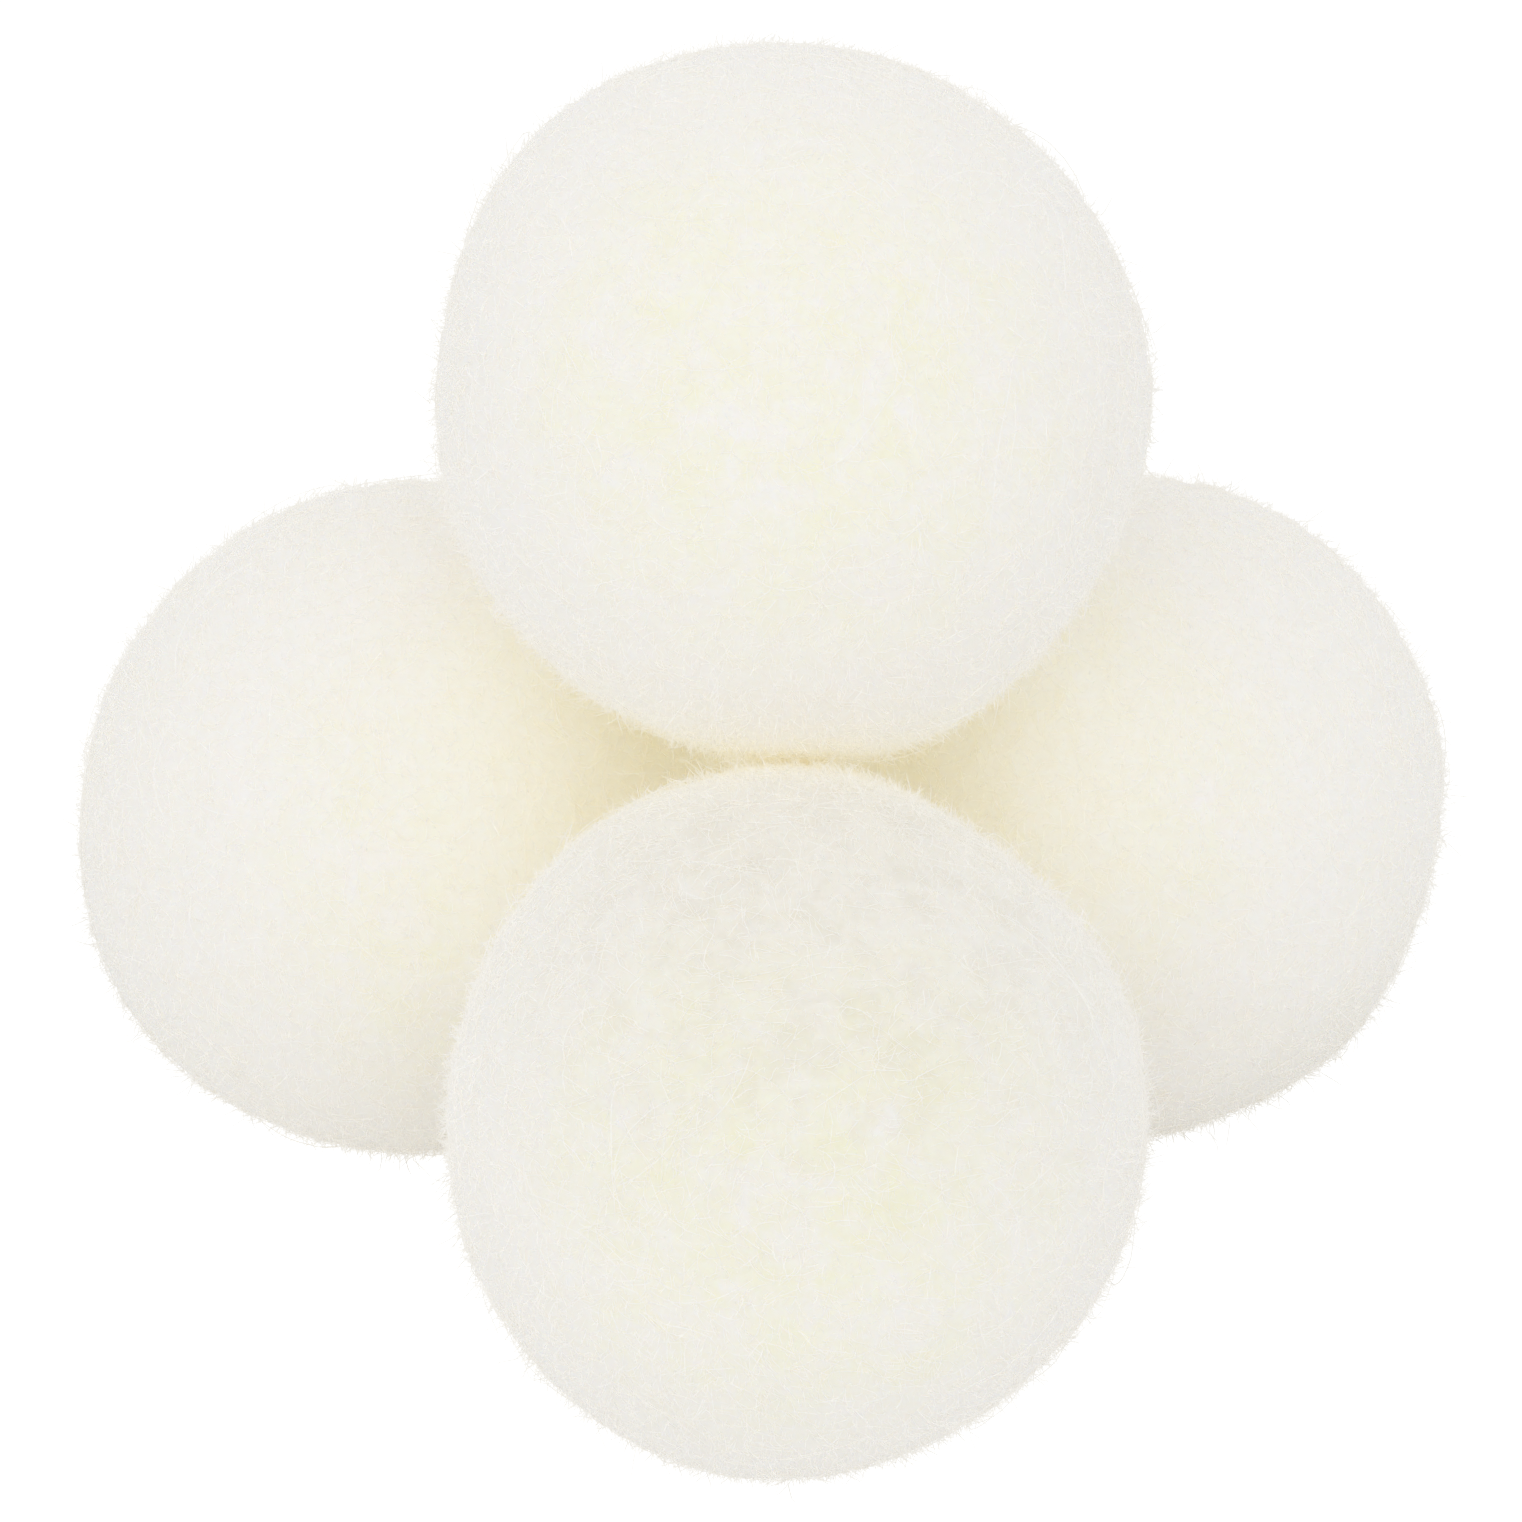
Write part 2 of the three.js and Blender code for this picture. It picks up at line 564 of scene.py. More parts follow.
def keep_clear(ball, paths, widths):
    """Fibres stop halfway to a neighbouring ball, where its own begin, and lie flat on the floor."""
    centre = np.array(CENTRES[ball])
    for other in BALLS:
        if other != ball:
            apart = np.array(CENTRES[other]) - centre
            half = np.linalg.norm(apart) / 2
            way = apart / (2 * half)
            over = np.maximum((paths - centre) @ way - half, 0)
            paths = paths - over[..., None] * way
    paths[..., 2] = np.maximum(paths[..., 2], widths / 2)
    return paths


def frames_along(paths):
    """Two directions across each fibre at each of its points, which turn with the fibre."""
    ahead = unit(np.gradient(paths, axis=1))
    sides = []
    side = np.cross(ahead[:, 0], unit(paths[:, 0] - paths[:, 0].mean(axis=0)))
    for step in range(paths.shape[1]):
        way = ahead[:, step]
        side = unit(side - np.sum(side * way, axis=-1, keepdims=True) * way)
        sides.append(side)
    sides = np.stack(sides, axis=1)
    return sides, np.cross(ahead, sides)


def fibre_faces(rings):
    """The triangles of one fibre: a point, this many rings of three corners, and a point."""
    last = 3 * rings + 1
    faces = []
    for a, b in ((0, 1), (1, 2), (2, 0)):
        faces.append((0, 1 + b, 1 + a))
        for ring in range(rings - 1):
            near = 1 + 3 * ring
            faces.append((near + a, near + b, near + 3 + b))
            faces.append((near + a, near + 3 + b, near + 3 + a))
        faces.append((last, last - 3 + a, last - 3 + b))
    return np.array(faces)


def fibre_piece(name, ball, paths, widths, material):
    """One mesh of three-sided fibres, pointed at both ends, that follow these paths."""
    count, points, _ = paths.shape
    sides, uprights = frames_along(paths)
    widths = np.broadcast_to(widths, (count, points))
    corners = [paths[:, :1]]
    for ring in range(1, points - 1):
        for turn in range(3):
            angle = 2 * math.pi * turn / 3
            out = sides[:, ring] * math.cos(angle) + uprights[:, ring] * math.sin(angle)
            corners.append((paths[:, ring] + out * widths[:, ring, None] / 2)[:, None])
    corners.append(paths[:, -1:])
    corners = np.concatenate(corners, axis=1)
    faces = fibre_faces(points - 2)
    faces = faces[None] + np.arange(count)[:, None, None] * corners.shape[1]
    mesh = bpy.data.meshes.new(name)
    mesh.vertices.add(corners.size // 3)
    mesh.vertices.foreach_set("co", corners.ravel())
    mesh.loops.add(faces.size)
    mesh.loops.foreach_set("vertex_index", faces.ravel())
    mesh.polygons.add(faces.size // 3)
    mesh.polygons.foreach_set("loop_start", np.arange(0, faces.size, 3))
    mesh.update(calc_edges=True)
    mesh.shade_flat()
    mesh.materials.append(material)
    piece = bpy.data.objects.new(name, mesh)
    bpy.context.collection.objects.link(piece)
    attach(piece, f"{ball}_ball")
    return piece


def roots(ball, rng, count, gathered):
    """Places all over the unit ball, with a share of them gathered round what it leans on."""
    places = unit(rng.normal(size=(count, 3)))
    leant = np.array([way for other, (way, _) in rests(ball).items() if other != "floor"])
    chosen = leant[rng.integers(len(leant), size=count)]
    near = unit(chosen + rng.normal(size=(count, 3)) * GATHER_SPREAD)
    return np.where(rng.uniform(size=(count, 1)) < gathered, near, places)


def fibre_paths(ball, rng, points, lengths, leans, way, gathered=0):
    """Paths on the unit ball, with the felt's radius under each point."""
    count = len(lengths)
    bend, crimp, follow = way
    places = roots(ball, rng, count, gathered)
    combed = flow(places, rng)
    stray = rng.normal(size=(count, 3))
    loose = rng.uniform(size=(count, 1)) > follow
    headings = across(places, np.where(loose, stray, unit(combed) + stray * 0.3))
    spans = lengths * np.cos(leans) / BALL_RADIUS
    path = wander(rng, places, headings, spans, points, bend, crimp)
    skin = bpy.data.objects[f"{ball}_felt"]
    radii = felt_radii(skin, CENTRES[ball], path.reshape(-1, 3))
    return path, radii.reshape(count, points)


def lifted(ball, path, radii):
    """Paths on the unit ball, brought out to these radii round the ball's centre."""
    return np.array(CENTRES[ball]) + path * radii[..., None]


def varied_lengths(rng, usual, variety, count):
    """Lengths round the usual one, kept between the least and the most."""
    spread, least, most = variety
    return np.clip(usual * np.exp(rng.normal(size=count) * spread), least, most)


class DRYERBALL_OT_nap(Operator):
    """Lay the matted fibres over each ball's felt"""

    bl_idname = "dryer_ball.nap"
    bl_label = "Matted Nap"

    def execute(self, context):
        fibres = context.scene.dryer_ball_fibres
        count = fibres.nap_count
        along = np.linspace(0, 1, NAP_POINTS)
        for number, ball in enumerate(BALLS):
            rng = np.random.default_rng(NAP_SEED + number)
            lengths = varied_lengths(rng, fibres.nap_length, NAP_VARIETY, count)
            path, radii = fibre_paths(ball, rng, NAP_POINTS, lengths, np.zeros(count), NAP_WAY)
            rise = rng.uniform(0.00002, 0.00034, size=(count, 1))
            sway = rng.normal(size=(count, NAP_POINTS)) * 0.00004
            heights = (rise + NAP_SUNK) * np.sin(math.pi * along) ** 0.7 - NAP_SUNK + sway
            widths = fibres.nap_width * rng.uniform(0.75, 1.25, size=(count, 1))
            widths = widths * (1 - 0.45 * np.abs(2 * along - 1) ** 3)
            paths = keep_clear(ball, lifted(ball, path, radii + heights), widths)
            wool = fibre_material(f"{ball} nap wool", ball, NAP_TONES, NAP_PAINTED_BOUNCE)
            fibre_piece(f"{ball}_nap", ball, paths, widths, wool)
        return {"FINISHED"}


def standing(ball, rng, points, lengths, leans, width, gathered):
    """Fibres that stand off a ball's felt at these leans: their paths and their widths."""
    count = len(lengths)
    path, radii = fibre_paths(ball, rng, points, lengths, leans, STANDING_WAY, gathered)
    along = np.linspace(0, 1, points)
    heights = (lengths * np.sin(leans))[:, None] * along**0.85 - ROOT_DEPTH
    widths = width * rng.uniform(0.7, 1.2, size=(count, 1)) * (1 - 0.55 * along**2)
    return keep_clear(ball, lifted(ball, path, radii + heights), widths), widths


class DRYERBALL_OT_fuzz(Operator):
    """Stand the fuzz on each ball's felt"""

    bl_idname = "dryer_ball.fuzz"
    bl_label = "Fuzz"

    def execute(self, context):
        fibres = context.scene.dryer_ball_fibres
        count = fibres.fuzz_count
        for number, ball in enumerate(BALLS):
            rng = np.random.default_rng(FUZZ_SEED + number)
            lengths = varied_lengths(rng, fibres.fuzz_length, FUZZ_VARIETY, count)
            leans = np.radians(rng.triangular(*FUZZ_LEANS, size=count))
            paths, widths = standing(
                ball, rng, FUZZ_POINTS, lengths, leans, fibres.fuzz_width, fibres.fuzz_gathered
            )
            wool = fibre_material(f"{ball} fuzz wool", ball, FUZZ_TONES, FUZZ_PAINTED_BOUNCE)
            fibre_piece(f"{ball}_fuzz", ball, paths, widths, wool)
        return {"FINISHED"}


class DRYERBALL_OT_down(Operator):
    """Stand the shortest down on each ball's felt"""

    bl_idname = "dryer_ball.down"
    bl_label = "Down"

    def execute(self, context):
        fibres = context.scene.dryer_ball_fibres
        count = fibres.down_count
        for number, ball in enumerate(BALLS):
            rng = np.random.default_rng(DOWN_SEED + number)
            lengths = varied_lengths(rng, fibres.down_length, DOWN_VARIETY, count)
            leans = np.radians(rng.triangular(*DOWN_LEANS, size=count))
            paths, widths = standing(
                ball, rng, DOWN_POINTS, lengths, leans, fibres.down_width, DOWN_GATHERED
            )
            wool = bpy.data.materials[f"{ball} fuzz wool"]
            fibre_piece(f"{ball}_down", ball, paths, widths, wool)
        return {"FINISHED"}


class DRYERBALL_OT_strays(Operator):
    """Lay a few long loose fibres over each ball"""

    bl_idname = "dryer_ball.strays"
    bl_label = "Long Strays"

    def execute(self, context):
        fibres = context.scene.dryer_ball_fibres
        count = fibres.stray_count
        along = np.linspace(0, 1, STRAY_POINTS)
        for number, ball in enumerate(BALLS):
            rng = np.random.default_rng(STRAY_SEED + number)
            lengths = varied_lengths(rng, fibres.stray_length, STRAY_VARIETY, count)
            path, radii = fibre_paths(ball, rng, STRAY_POINTS, lengths, np.zeros(count), STRAY_WAY)
            rise = rng.triangular(0.0003, 0.0006, 0.0022, size=(count, 1))
            bowed = np.sin(math.pi * along)
            freed = along**1.3
            loose = rng.uniform(size=(count, 1)) < LOOSE_STRAYS
            heights = rise * np.where(loose, freed, bowed) - STRAY_SUNK
            widths = fibres.stray_width * rng.uniform(0.7, 1.2, size=(count, 1))
            widths = widths * (1 - 0.6 * np.abs(2 * along - 1) ** 4)
            paths = keep_clear(ball, lifted(ball, path, radii + heights), widths)
            wool = fibre_material(f"{ball} strays wool", ball, STRAY_TONES, FUZZ_PAINTED_BOUNCE)
            fibre_piece(f"{ball}_strays", ball, paths, widths, wool)
        return {"FINISHED"}


# ---- Materials ----


def felt_material(name, ball, cream_side_by_painted_sheen, shade_painted_side, felt):
    """Matted wool: white fleece with cream patches, gathered on the side turned to the camera so the
    rims stay whiter as a painted sheen; clumps of painted shade where less light falls; painted warm
    bounce light in the heart of the pile; crossing fibre marks with shade between them, and a soft
    sheen.
    """
    material = bpy.data.materials.new(name)
    material.use_nodes = True
    nodes = material.node_tree.nodes
    links = material.node_tree.links
    nodes.clear()

    place_frame = nodes.new("NodeFrame")
    place_frame.label = "Place on the ball"
    coordinates = nodes.new("ShaderNodeTexCoord")
    coordinates.label = "Place in the pile"
    centred = nodes.new("ShaderNodeMapping")
    centred.label = "Place from the ball's centre"

    patch_frame = nodes.new("NodeFrame")
    patch_frame.label = "Cream patches"
    patches = nodes.new("ShaderNodeTexNoise")
    patches.label = "Where cream wool shows through"
    patch_edges = nodes.new("ShaderNodeMapRange")
    patch_edges.label = "Soft edges of the patches"
    outward = nodes.new("ShaderNodeVectorMath")
    outward.label = "Direction from the centre"
    facing = nodes.new("ShaderNodeVectorMath")
    facing.label = "Nearness to the side where cream gathers"
    # Painted sheen: the cream patches are kept to the side turned to the camera, so the rims show
    # whiter fleece.
    zone = nodes.new("ShaderNodeMapRange")
    zone.label = "The cream side, off the painted-sheen rims"
    cream_share = nodes.new("ShaderNodeMath")
    cream_share.label = "Cream patches kept off the painted-sheen rims"
    fleece = nodes.new("ShaderNodeMix")
    fleece.label = "White fleece over cream"

    # Painted shade: clumps of duller wool on the side of each ball where less light falls, such as the
    # front ball's top under the top ball.
    painted_shade_frame = nodes.new("NodeFrame")
    painted_shade_frame.label = "Painted shade in clumps"
    clumps = nodes.new("ShaderNodeTexNoise")
    clumps.label = "Where the fleece parts into clumps"
    clump_edges = nodes.new("ShaderNodeMapRange")
    clump_edges.label = "Ragged edges of the clumps"
    painted_shade_facing = nodes.new("ShaderNodeVectorMath")
    painted_shade_facing.label = "Nearness to the side with painted shade"
    painted_shade_zone = nodes.new("ShaderNodeMapRange")
    painted_shade_zone.label = "The side with painted shade"
    painted_shade_share = nodes.new("ShaderNodeMath")
    painted_shade_share.label = "Clumps of painted shade on that side"
    shade_painted = nodes.new("ShaderNodeMix")
    shade_painted.label = "Painted shade between clumps"

    strand_frame = nodes.new("NodeFrame")
    strand_frame.label = "Marks of matted fibres"
    lie_one = nodes.new("ShaderNodeMapping")
    lie_one.label = "First lie of the fibres"
    lie_two = nodes.new("ShaderNodeMapping")
    lie_two.label = "Second lie"
    lie_three = nodes.new("ShaderNodeMapping")
    lie_three.label = "Third lie"
    strands_one = nodes.new("ShaderNodeTexNoise")
    strands_one.label = "Strands along the first lie"
    strands_two = nodes.new("ShaderNodeTexNoise")
    strands_two.label = "Strands along the second"
    strands_three = nodes.new("ShaderNodeTexNoise")
    strands_three.label = "Strands along the third"
    crossed = nodes.new("ShaderNodeMath")
    crossed.label = "Two lies crossed"
    matted = nodes.new("ShaderNodeMath")
    matted.label = "All three matted together"
    depth = nodes.new("ShaderNodeMapRange")
    depth.label = "Shade between strands"
    shaded = nodes.new("ShaderNodeMix")
    shaded.label = "Fleece with shaded gaps"

    # Painted warm bounce light: near the heart of the pile the wool is made warmer and lighter than
    # the white, as light passed on between the balls would make it.
    heart_frame = nodes.new("NodeFrame")
    heart_frame.label = "Painted warm bounce light in the heart of the pile"
    heart_facing = nodes.new("ShaderNodeVectorMath")
    heart_facing.label = "Nearness to the heart of the pile"
    heart_zone = nodes.new("ShaderNodeMapRange")
    heart_zone.label = "The sheltered side"
    sheltered = nodes.new("ShaderNodeMix")
    sheltered.label = "Painted warm bounce light where it is sheltered"

    relief_frame = nodes.new("NodeFrame")
    relief_frame.label = "Relief and dryness"
    relief = nodes.new("ShaderNodeBump")
    relief.label = "Strands stand up"
    dryness = nodes.new("ShaderNodeMapRange")
    dryness.label = "Gaps are duller"

    wool = nodes.new("ShaderNodeBsdfPrincipled")
    wool.label = "Felted wool"
    output = nodes.new("ShaderNodeOutputMaterial")
    output.label = "Surface"

    for group, members in (
        (place_frame, (coordinates, centred)),
        (patch_frame, (patches, patch_edges, outward, facing, zone, cream_share, fleece)),
        (painted_shade_frame, (clumps, clump_edges, painted_shade_facing, painted_shade_zone, painted_shade_share, shade_painted)),
        (strand_frame, (lie_one, lie_two, lie_three, strands_one, strands_two, strands_three)),
        (strand_frame, (crossed, matted, depth, shaded)),
        (heart_frame, (heart_facing, heart_zone, sheltered)),
        (relief_frame, (relief, dryness)),
    ):
        for member in members:
            member.parent = group
    for node, (column, row) in (
        (coordinates, (0, 0)),
        (centred, (1, 0)),
        (patches, (2, 2)),
        (patch_edges, (3, 2)),
        (outward, (2, 1)),
        (facing, (3, 1)),
        (zone, (4, 1)),
        (cream_share, (5, 2)),
        (fleece, (6, 2)),
        (clumps, (2, 4)),
        (clump_edges, (3, 4)),
        (painted_shade_facing, (3, 3)),
        (painted_shade_zone, (4, 3)),
        (painted_shade_share, (5, 4)),
        (shade_painted, (7, 3)),
        (lie_one, (2, 0)),
        (lie_two, (2, -1)),
        (lie_three, (2, -2)),
        (strands_one, (3, 0)),
        (strands_two, (3, -1)),
        (strands_three, (3, -2)),
        (crossed, (4, 0)),
        (matted, (5, 0)),
        (depth, (6, 0)),
        (heart_facing, (6, 4)),
        (heart_zone, (7, 4)),
        (sheltered, (8, 3)),
        (shaded, (9, 1)),
        (relief, (7, -2)),
        (dryness, (7, -1)),
        (wool, (10, 0)),
        (output, (11, 0)),
    ):
        node.location = (column * 220, row * 300)

    centred.inputs["Location"].default_value = -CENTRES[ball]
    patches.inputs["Scale"].default_value = 190
    patches.inputs["Detail"].default_value = 4
    patches.inputs["Roughness"].default_value = 0.68
    patches.inputs["Distortion"].default_value = 0.7
    patch_edges.inputs["From Min"].default_value = 0.34
    patch_edges.inputs["From Max"].default_value = 0.66
    outward.operation = "NORMALIZE"
    facing.operation = "DOT_PRODUCT"
    facing.inputs[1].default_value = cream_side_by_painted_sheen
    zone.inputs["From Min"].default_value = 0.55
    zone.inputs["From Max"].default_value = 0.95
    zone.inputs["To Min"].default_value = 0.12
    clumps.inputs["Scale"].default_value = 270
    clumps.inputs["Detail"].default_value = 5
    clumps.inputs["Roughness"].default_value = 0.6
    clumps.inputs["Distortion"].default_value = 0.6
    clump_edges.inputs["From Min"].default_value = 0.46
    clump_edges.inputs["From Max"].default_value = 0.62
    clump_edges.inputs["To Min"].default_value = 0.6
    painted_shade_facing.operation = "DOT_PRODUCT"
    painted_shade_facing.inputs[1].default_value = shade_painted_side
    painted_shade_zone.inputs["From Min"].default_value = PAINTED_SHADE_FROM[ball]
    painted_shade_zone.inputs["From Max"].default_value = 0.96
    painted_shade_share.operation = "MULTIPLY"
    shade_painted.data_type = "RGBA"
    shade_painted.blend_type = "MULTIPLY"
    # The colour of the painted shade, multiplied into the fleece.
    shade_painted.inputs["B"].default_value = (0.89, 0.885, 0.86, 1)
    cream_share.operation = "MULTIPLY"
    fleece.data_type = "RGBA"
    fleece.inputs["A"].default_value = (*felt.white, 1)
    fleece.inputs["B"].default_value = (*felt.cream, 1)
    lie_one.inputs["Rotation"].default_value = (0.5, 0.2, 0.9)
    lie_one.inputs["Scale"].default_value = (1, 1, 0.25)
    lie_two.inputs["Rotation"].default_value = (1.4, 0.9, 0.2)
    lie_two.inputs["Scale"].default_value = (1, 0.25, 1)
    lie_three.inputs["Rotation"].default_value = (0.3, 1.2, 1.7)
    lie_three.inputs["Scale"].default_value = (0.25, 1, 1)
    for strands in (strands_one, strands_two, strands_three):
        strands.inputs["Scale"].default_value = 900
        strands.inputs["Detail"].default_value = 3
        strands.inputs["Distortion"].default_value = 0.3
    crossed.operation = "MAXIMUM"
    matted.operation = "MAXIMUM"
    depth.inputs["From Min"].default_value = 0.48
    depth.inputs["From Max"].default_value = 0.72
    depth.inputs["To Min"].default_value = 1
    depth.inputs["To Max"].default_value = 0
    shaded.data_type = "RGBA"
    shaded.blend_type = "MULTIPLY"
    shaded.inputs["B"].default_value = (0.985, 0.973, 0.945, 1)
    heart_facing.operation = "DOT_PRODUCT"
    heart_facing.inputs[1].default_value = heart_side(ball)
    heart_zone.inputs["From Min"].default_value = PAINTED_BOUNCE_FROM[ball]
    heart_zone.inputs["From Max"].default_value = PAINTED_BOUNCE_FROM[ball] + PAINTED_BOUNCE_FADE
    sheltered.data_type = "RGBA"
    painted_bounce = felt.pale_painted_bounce if ball in LIGHTLY_LEANING else felt.painted_bounce
    sheltered.inputs["B"].default_value = (*painted_bounce, 1)
    relief.inputs["Strength"].default_value = 0.5
    relief.inputs["Distance"].default_value = 0.00008
    dryness.inputs["From Min"].default_value = 0.45
    dryness.inputs["From Max"].default_value = 0.75
    dryness.inputs["To Min"].default_value = 1
    dryness.inputs["To Max"].default_value = 0.82
    wool.inputs["Specular IOR Level"].default_value = 0.25
    wool.inputs["Sheen Weight"].default_value = 0.8
    wool.inputs["Sheen Roughness"].default_value = 0.45
    wool.inputs["Subsurface Weight"].default_value = 0.3
    wool.inputs["Subsurface Radius"].default_value = (1, 0.85, 0.6)
    wool.inputs["Subsurface Scale"].default_value = 0.0012

    links.new(coordinates.outputs["Object"], centred.inputs["Vector"])
    links.new(centred.outputs["Vector"], patches.inputs["Vector"])
    links.new(centred.outputs["Vector"], lie_one.inputs["Vector"])
    links.new(centred.outputs["Vector"], lie_two.inputs["Vector"])
    links.new(centred.outputs["Vector"], lie_three.inputs["Vector"])
    links.new(lie_one.outputs["Vector"], strands_one.inputs["Vector"])
    links.new(lie_two.outputs["Vector"], strands_two.inputs["Vector"])
    links.new(lie_three.outputs["Vector"], strands_three.inputs["Vector"])
    links.new(patches.outputs["Fac"], patch_edges.inputs["Value"])
    links.new(centred.outputs["Vector"], outward.inputs[0])
    links.new(outward.outputs["Vector"], facing.inputs[0])
    links.new(facing.outputs["Value"], zone.inputs["Value"])
    links.new(patch_edges.outputs["Result"], cream_share.inputs[0])
    links.new(zone.outputs["Result"], cream_share.inputs[1])
    links.new(cream_share.outputs["Value"], fleece.inputs["Factor"])
    links.new(strands_one.outputs["Fac"], crossed.inputs[0])
    links.new(strands_two.outputs["Fac"], crossed.inputs[1])
    links.new(crossed.outputs["Value"], matted.inputs[0])
    links.new(strands_three.outputs["Fac"], matted.inputs[1])
    links.new(matted.outputs["Value"], depth.inputs["Value"])
    links.new(depth.outputs["Result"], shaded.inputs["Factor"])
    links.new(centred.outputs["Vector"], clumps.inputs["Vector"])
    links.new(clumps.outputs["Fac"], clump_edges.inputs["Value"])
    links.new(outward.outputs["Vector"], painted_shade_facing.inputs[0])
    links.new(painted_shade_facing.outputs["Value"], painted_shade_zone.inputs["Value"])
    links.new(clump_edges.outputs["Result"], painted_shade_share.inputs[0])
    links.new(painted_shade_zone.outputs["Result"], painted_shade_share.inputs[1])
    links.new(painted_shade_share.outputs["Value"], shade_painted.inputs["Factor"])
    links.new(fleece.outputs["Result"], shade_painted.inputs["A"])
    links.new(matted.outputs["Value"], relief.inputs["Height"])
    links.new(matted.outputs["Value"], dryness.inputs["Value"])
    links.new(outward.outputs["Vector"], heart_facing.inputs[0])
    links.new(heart_facing.outputs["Value"], heart_zone.inputs["Value"])
    links.new(heart_zone.outputs["Result"], sheltered.inputs["Factor"])
    links.new(shade_painted.outputs["Result"], sheltered.inputs["A"])
    links.new(sheltered.outputs["Result"], shaded.inputs["A"])
    links.new(shaded.outputs["Result"], wool.inputs["Base Color"])
    links.new(dryness.outputs["Result"], wool.inputs["Roughness"])
    links.new(relief.outputs["Normal"], wool.inputs["Normal"])
    links.new(wool.outputs["BSDF"], output.inputs["Surface"])
    return material


def fibre_material(name, ball, tones, painted_bounce):
    """Single wool fibres: each has its own tone, and they get painted warm bounce light where
    sheltered.
    """
    material = bpy.data.materials.new(name)
    material.use_nodes = True
    nodes = material.node_tree.nodes
    links = material.node_tree.links
    nodes.clear()

    side_frame = nodes.new("NodeFrame")
    side_frame.label = "Sheltered side"
    coordinates = nodes.new("ShaderNodeTexCoord")
    coordinates.label = "Place in the pile"
    centred = nodes.new("ShaderNodeMapping")
    centred.label = "Place from the ball's centre"
    outward = nodes.new("ShaderNodeVectorMath")
    outward.label = "Direction from the centre"
    facing = nodes.new("ShaderNodeVectorMath")
    facing.label = "Nearness to the heart of the pile"
    zone = nodes.new("ShaderNodeMapRange")
    zone.label = "The sheltered side"

    tone_frame = nodes.new("NodeFrame")
    tone_frame.label = "Tone of each fibre"
    each = nodes.new("ShaderNodeNewGeometry")
    each.label = "One number for each fibre"
    ramp = nodes.new("ShaderNodeValToRGB")
    ramp.label = "From the whitest fibre to the dullest"
    # Painted warm bounce light: fibres are made warmer towards the heart of the pile.
    bounce_painted_tone = nodes.new("ShaderNodeMix")
    bounce_painted_tone.label = "Fibre with painted warm bounce light on its sheltered side"

    wool = nodes.new("ShaderNodeBsdfPrincipled")
    wool.label = "Wool fibre"
    output = nodes.new("ShaderNodeOutputMaterial")
    output.label = "Surface"

    for group, members in (
        (side_frame, (coordinates, centred, outward, facing, zone)),
        (tone_frame, (each, ramp, bounce_painted_tone)),
    ):
        for member in members:
            member.parent = group
    chain = (coordinates, centred, outward, facing, zone, bounce_painted_tone, wool, output)
    for column, node in enumerate(chain):
        node.location = (column * 220, 0)
    for column, node in enumerate((each, ramp)):
        node.location = (column * 220 + 600, -350)

    centred.inputs["Location"].default_value = -CENTRES[ball]
    outward.operation = "NORMALIZE"
    facing.operation = "DOT_PRODUCT"
    facing.inputs[1].default_value = heart_side(ball)
    zone.inputs["From Min"].default_value = PAINTED_BOUNCE_FROM[ball]
    zone.inputs["From Max"].default_value = PAINTED_BOUNCE_FROM[ball] + PAINTED_BOUNCE_FADE
    ramp.color_ramp.elements[1].position = 1
    ramp.color_ramp.elements.new(0.5)
    for element, tone in zip(ramp.color_ramp.elements, tones):
        element.color = (*tone, 1)
    bounce_painted_tone.data_type = "RGBA"
    bounce_painted_tone.blend_type = "MULTIPLY"
    bounce_painted_tone.inputs["B"].default_value = (*painted_bounce, 1)
    wool.inputs["Roughness"].default_value = 0.55
    wool.inputs["Specular IOR Level"].default_value = 0.5
    wool.inputs["Sheen Weight"].default_value = 0.3
    wool.inputs["Sheen Roughness"].default_value = 0.5

    links.new(coordinates.outputs["Object"], centred.inputs["Vector"])
    links.new(centred.outputs["Vector"], outward.inputs[0])
    links.new(outward.outputs["Vector"], facing.inputs[0])
    links.new(facing.outputs["Value"], zone.inputs["Value"])
    links.new(zone.outputs["Result"], bounce_painted_tone.inputs["Factor"])
    links.new(each.outputs["Random Per Island"], ramp.inputs["Fac"])
    links.new(ramp.outputs["Color"], bounce_painted_tone.inputs["A"])
    links.new(bounce_painted_tone.outputs["Result"], wool.inputs["Base Color"])
    links.new(wool.outputs["BSDF"], output.inputs["Surface"])
    return material


